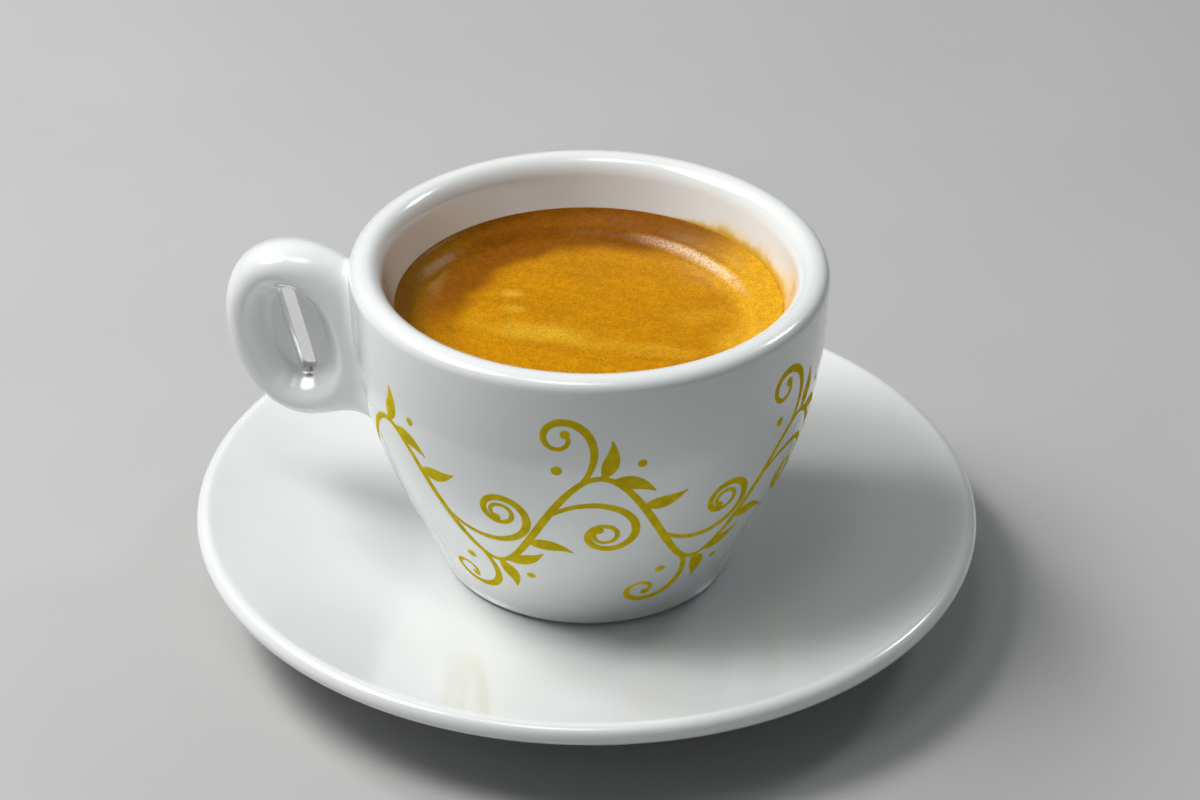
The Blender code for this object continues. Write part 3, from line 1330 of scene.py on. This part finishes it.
@dataclass(frozen=True)
class Curl:
    """A stroke that starts along a heading and bends more and more.

    Lengths are in metres. A positive side bends it to the left.
    """

    length: float
    first_radius: float
    last_radius: float
    side: int
    tightening: float = 1.6
    thin: float = 0.0009
    thick: float = 0.0016
    steps: int = 160

    def bends(self) -> Points:
        """Bend of the stroke at each step."""
        tight = np.linspace(0, 1, self.steps) ** self.tightening
        return self.side * (1 / self.first_radius + (1 / self.last_radius - 1 / self.first_radius) * tight)

    def towards(self, side: int) -> "Curl":
        """The same curl, bent the other way where the side is -1."""
        return replace(self, side=self.side * side)


@dataclass
class ScrollPrint:
    """A running scroll of yellow enamel: a waving stem with curling tendrils, leaves and berries."""

    cup: CupForm
    finish: YellowEnamel = YellowEnamel()
    waves: int = 5
    middle_rise: float = 0.0275
    swing: float = 0.0120
    start: float = math.radians(-150)
    end: float = math.radians(150)
    clear: float = math.radians(5)
    thickness: float = 0.00005
    sunk: float = 0.000004
    across: int = 7
    stem_steps: int = 900
    stem_width: float = 0.0014
    berry: float = 0.0010
    berry_sides: int = 28
    berry_rings: int = 5
    berry_middle: float = 0.02
    leaf: Curl = Curl(0.0085, 0.016, 0.009, 1, 1.0, 0.00035, 0.0030, 40)
    curls: tuple[tuple[float, float, Curl], ...] = (
        (0.06, -14, Curl(0.050, 0.0120, 0.0017, -1, 1.9)),
        (0.34, 12, Curl(0.030, 0.0130, 0.0016, 1, 2.0)),
    )
    leaves: tuple[tuple[float, float, int], ...] = ((0.52, 66, 1), (0.60, 26, -1), (0.86, 54, 1))
    berries: tuple[Triple, ...] = ((0.16, 0.0078, 1.0), (0.83, 0.0088, 0.85))

    def __post_init__(self) -> None:
        """Starts with no strokes."""
        self.points: list[Points] = []
        self.faces: list[Face] = []
        self.count = 0

    def slant(self, rise: Points) -> Points:
        """How much longer the wall is than its height at a rise."""
        return np.sqrt(1 + self.cup.flare(rise) ** 2)

    def on_wall(self, angle: Points, rise: Points, lift: Points) -> Points:
        """Places on the cup's outer wall.

        Args:
            angle: angles round the cup.
            rise: heights above the foot line.
            lift: how far they stand off the wall.

        Returns:
            The places.
        """
        radius = self.cup.wall_radius(rise) + lift
        return np.stack([radius * np.cos(angle), radius * np.sin(angle), self.cup.foot_line + rise], -1)

    def lay(self, body: Points, is_flipped: bool) -> None:
        """Keeps a grid of places as part of the print.

        Args:
            body: rows of places.
            is_flipped: whether the faces turn over.
        """
        faces = grid_faces(body.shape[0], body.shape[1], False, self.count)
        self.faces += [face[::-1] for face in faces] if is_flipped else faces
        self.points.append(body.reshape(-1, 3))
        self.count += body.size // 3

    def stroke(self, angle: Points, rise: Points, width: Points) -> None:
        """Lays one brush stroke.

        Args:
            angle: angles along the stroke's middle.
            rise: heights along it.
            width: its width along it.
        """
        radius, slant = self.cup.wall_radius(rise), self.slant(rise)
        flat = np.stack([np.gradient(angle) * radius, np.gradient(rise) * slant], 1)
        flat /= np.linalg.norm(flat, axis=1, keepdims=True)
        share = np.linspace(-1, 1, self.across)
        side = share[None, :] * (width / 2)[:, None]
        angles = angle[:, None] - side * (flat[:, 1] / radius)[:, None]
        rises = rise[:, None] + side * (flat[:, 0] / slant)[:, None]
        crown = self.thickness * (1 - share**4) - self.sunk
        self.lay(self.on_wall(angles, rises, np.broadcast_to(crown, angles.shape)), True)

    def trace(self, angle: float, rise: float, heading: float, curl: Curl) -> tuple[Points, Points]:
        """Follows a curl over the wall.

        Args:
            angle: where it starts.
            rise: the height there.
            heading: its first direction, from level towards upwards.
            curl: its form.

        Returns:
            Angles and rises along it.
        """
        step = curl.length / (curl.steps - 1)
        headings = heading + np.cumsum(curl.bends()) * step
        angles, rises = [angle], [rise]
        for way in headings[:-1]:
            low = np.array(rises[-1])
            angles.append(angles[-1] + math.cos(way) * step / float(self.cup.wall_radius(low)))
            rises.append(rises[-1] + math.sin(way) * step / float(self.slant(low)))
        return np.array(angles), np.array(rises)

    def lay_curl(self, angle: float, rise: float, heading: float, curl: Curl) -> None:
        """Lays a curl that swells in its middle and ends in a berry, if it stays clear of the ear.

        Args:
            angle: where it starts.
            rise: the height there.
            heading: its first direction, from level towards upwards.
            curl: its form.
        """
        angles, rises = self.trace(angle, rise, heading, curl)
        if angles.min() < self.start + self.clear or angles.max() > self.end - self.clear:
            return
        share = np.linspace(0, 1, curl.steps)
        width = curl.thin + (curl.thick - curl.thin) * np.sin(math.pi * np.clip(share * 1.15, 0, 1)) ** 1.2
        self.stroke(angles, rises, width * np.clip(share / 0.03, 0.15, 1.0))
        self.lay_berry(float(angles[-1]), float(rises[-1]), 0.9 * self.berry)

    def lay_leaf(self, angle: float, rise: float, heading: float, side: int) -> None:
        """Lays one pointed leaf that bends to one side.

        Args:
            angle: where it starts.
            rise: the height there.
            heading: its first direction, from level towards upwards.
            side: 1 bends it to the left and -1 to the right.
        """
        form = self.leaf.towards(side)
        angles, rises = self.trace(angle, rise, heading, form)
        share = np.linspace(0, 1, form.steps)
        self.stroke(angles, rises, form.thin + (form.thick - form.thin) * np.sin(math.pi * share**0.75) ** 1.3)

    def lay_berry(self, angle: float, rise: float, radius: float) -> None:
        """Lays one round berry.

        Args:
            angle: the angle of its middle.
            rise: the height of its middle.
            radius: its radius.
        """
        turns = np.linspace(0, 2 * math.pi, self.berry_sides + 1)[:, None]
        shares = np.linspace(1, self.berry_middle, self.berry_rings)
        angles = angle + np.cos(turns) * shares * radius / float(self.cup.wall_radius(rise))
        rises = rise + np.sin(turns) * shares * radius / float(self.slant(np.array(rise)))
        crown = self.thickness * (1 - shares**4) - self.sunk
        self.lay(self.on_wall(angles, rises, np.broadcast_to(crown, angles.shape)), False)

    def stem_at(self, phase: Points) -> tuple[Points, Points]:
        """Angle and rise of the stem at phases of its waves."""
        angle = self.start + (self.end - self.start) * phase / (2 * math.pi * self.waves)
        return angle, self.middle_rise + self.swing * np.sin(phase)

    def stem_point(self, phase: float) -> tuple[float, float, float]:
        """Angle, rise and heading of the stem at a phase.

        Args:
            phase: the phase of its waves.

        Returns:
            The angle, the rise and the heading, from level towards upwards.
        """
        first, second = self.stem_at(np.array(phase - 0.01)), self.stem_at(np.array(phase + 0.01))
        across = float(second[0] - first[0]) * float(self.cup.wall_radius(first[1]))
        heading = math.atan2(float(second[1] - first[1]) * float(self.slant(first[1])), across)
        return *map(float, self.stem_at(np.array(phase))), heading

    def half_wave(self, index: int) -> None:
        """Lays all that grows on one half wave of the stem.

        Args:
            index: number of the half wave. Even ones rise and odd ones sink.
        """
        side = 1 if index % 2 == 0 else -1
        for share, turn, curl in self.curls:
            angle, rise, heading = self.stem_point((index + share) * math.pi)
            self.lay_curl(angle, rise, heading + math.radians(turn) * side, curl.towards(side))
        for share, turn, bend in self.leaves:
            angle, rise, heading = self.stem_point((index + share) * math.pi)
            self.lay_leaf(angle, rise, heading + math.radians(turn) * side, bend * side)
        for share, lift, size in self.berries:
            angle, rise, _ = self.stem_point((index + share) * math.pi)
            if self.start + self.clear < angle < self.end - self.clear:
                self.lay_berry(angle, rise + side * lift, size * self.berry)

    def build(self) -> bpy.types.Object:
        """Lays every stroke and makes the print of them.

        Returns:
            The finished print.
        """
        share = np.linspace(0, 1, self.stem_steps)
        phase = share * 2 * math.pi * self.waves
        angle, rise = self.stem_at(phase)
        width = self.stem_width * (0.85 + 0.25 * np.cos(phase) ** 2)
        self.stroke(angle, rise, width * np.clip(np.minimum(share, 1 - share) / 0.008, 0.15, 1.0))
        for index in range(2 * self.waves):
            self.half_wave(index)
        piece = MeshPiece("scroll_print", np.vstack(self.points), self.faces)
        return piece.dress(self.finish.build("yellow_enamel"), Slot.PRINT)


@dataclass(frozen=True)
class SoftBox:
    """One rectangular studio light, aimed at the cup."""

    name: str
    azimuth: float
    elevation: float
    distance: float
    size: tuple[float, float]
    power: float
    tint: Colour = (1.0, 1.0, 1.0)
    glow_core: float = 0.05
    glow_edge: float = 0.5
    glow_peak: float = 3.2

    def build(self, target: Vector) -> None:
        """Places the light.

        Args:
            target: the point that it faces.
        """
        data = bpy.data.lights.new(self.name, "AREA")
        data.shape = "RECTANGLE"
        data.size, data.size_y = self.size
        data.energy = self.power
        data.color = self.tint
        self.soften(data)
        light = bpy.data.objects.new(self.name, data)
        bpy.context.scene.collection.objects.link(light)
        turn, lift = math.radians(self.azimuth), math.radians(self.elevation)
        way = Vector((math.cos(turn) * math.cos(lift), math.sin(turn) * math.cos(lift), math.sin(lift)))
        light.location = target + way * self.distance
        light.rotation_euler = way.to_track_quat("Z", "Y").to_euler()

    def soften(self, data: bpy.types.Light) -> None:
        """Lets the light fade out towards its edges.

        Args:
            data: the light.
        """
        data.use_nodes = True
        tree = data.node_tree
        emission = next(node for node in tree.nodes if node.type == "EMISSION")
        place = tree.nodes.new("ShaderNodeTexCoord")
        offset = tree.nodes.new("ShaderNodeVectorMath")
        offset.operation = "SUBTRACT"
        offset.inputs[1].default_value = (0.5, 0.5, 0.0)
        length = tree.nodes.new("ShaderNodeVectorMath")
        length.operation = "LENGTH"
        fade = tree.nodes.new("ShaderNodeMapRange")
        fade.interpolation_type = "SMOOTHSTEP"
        ends = {"From Min": self.glow_edge, "From Max": self.glow_core, "To Min": 0.0, "To Max": self.glow_peak}
        for key, number in ends.items():
            fade.inputs[key].default_value = number
        tree.links.new(place.outputs["UV"], offset.inputs[0])
        tree.links.new(offset.outputs["Vector"], length.inputs[0])
        tree.links.new(length.outputs["Value"], fade.inputs["Value"])
        tree.links.new(fade.outputs["Result"], emission.inputs["Strength"])


@dataclass
class Studio:
    """The table top, the lights and the camera."""

    target: Triple = (0.00213, 0.00044, 0.03772)
    distance: float = 0.60442
    elevation: float = math.radians(32.054)
    azimuth: float = math.radians(11.757)
    roll: float = math.radians(0.704)
    lens: float = 100.3
    sensor: float = 36.0
    clip: tuple[float, float] = (0.01, 20.0)
    aim: Triple = (0.0, 0.0, 0.04)
    ambient: float = 0.145
    room: Colour = (0.88, 0.96, 1.0)
    floor_size: float = 6.0
    lights: tuple[SoftBox, ...] = (
        SoftBox("key_light", 190, 55, 0.95, (0.60, 0.60), 8.9, (1.0, 0.995, 0.98)),
        SoftBox("back_light", 158, 46, 1.0, (0.32, 0.42), 4.2),
        SoftBox("side_light", 46, 43, 1.0, (0.26, 0.26), 1.2),
        SoftBox("front_light", -110, 78, 1.2, (0.7, 0.6), 1.9, (0.98, 0.99, 1.0)),
    )

    def build(self) -> None:
        """Sets up everything that is not the object."""
        self.build_floor()
        self.build_world()
        for light in self.lights:
            light.build(Vector(self.aim))
        self.build_camera()
        bpy.context.scene.view_settings.view_transform = "Standard"

    def build_floor(self) -> None:
        """Lays the pale table top."""
        half = self.floor_size / 2
        corners = [(-half, -half, 0), (half, -half, 0), (half, half, 0), (-half, half, 0)]
        mesh = bpy.data.meshes.new("table_top")
        mesh.from_pydata(corners, [], [(0, 1, 2, 3)])
        floor = bpy.data.objects.new("table_top", mesh)
        bpy.context.scene.collection.objects.link(floor)
        mesh.materials.append(PaleFloor().build("pale_table"))

    def build_world(self) -> None:
        """Fills the room with even light."""
        world = bpy.data.worlds.new("soft_room")
        world.use_nodes = True
        background = world.node_tree.nodes["Background"]
        background.inputs["Color"].default_value = (*self.room, 1.0)
        background.inputs["Strength"].default_value = self.ambient
        bpy.context.scene.world = world

    def build_camera(self) -> None:
        """Sets the camera at the photograph's angle."""
        data = bpy.data.cameras.new("camera")
        data.lens = self.lens
        data.sensor_width = self.sensor
        data.clip_start, data.clip_end = self.clip
        camera = bpy.data.objects.new("camera", data)
        bpy.context.scene.collection.objects.link(camera)
        level = math.cos(self.elevation)
        back = Vector((math.sin(self.azimuth) * level, -math.cos(self.azimuth) * level, math.sin(self.elevation)))
        facing = back.to_track_quat("Z", "Y").to_matrix().to_4x4()
        place = Matrix.Translation(Vector(self.target) + back * self.distance)
        camera.matrix_world = place @ facing @ Matrix.Rotation(self.roll, 4, "Z")
        bpy.context.scene.camera = camera


def main() -> None:
    """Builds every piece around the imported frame."""
    logging.basicConfig(level=logging.INFO, format="%(name)s: %(message)s")
    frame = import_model()
    cup_low, cup_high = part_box(Node.CUP.value)
    form = CupForm(foot_line=cup_low.z + CupForm.foot_round)
    LOG.info("nodes %s, cup from %.4f to %.4f m", sorted(frame["nodes"]), cup_low.z, cup_high.z)
    Studio().build()
    Saucer().build()
    crema = CremaForm(form)
    speck = Speck((-0.0516, -0.0028, form.foot_line + 0.0291))
    Cup(form, GlazedPorcelain(Tide(form.foot_line + crema.edge_rise), speck)).build()
    Coffee(crema).build()
    Crema(crema).build()
    ScrollPrint(form).build()


if __name__ == "__main__":
    main()
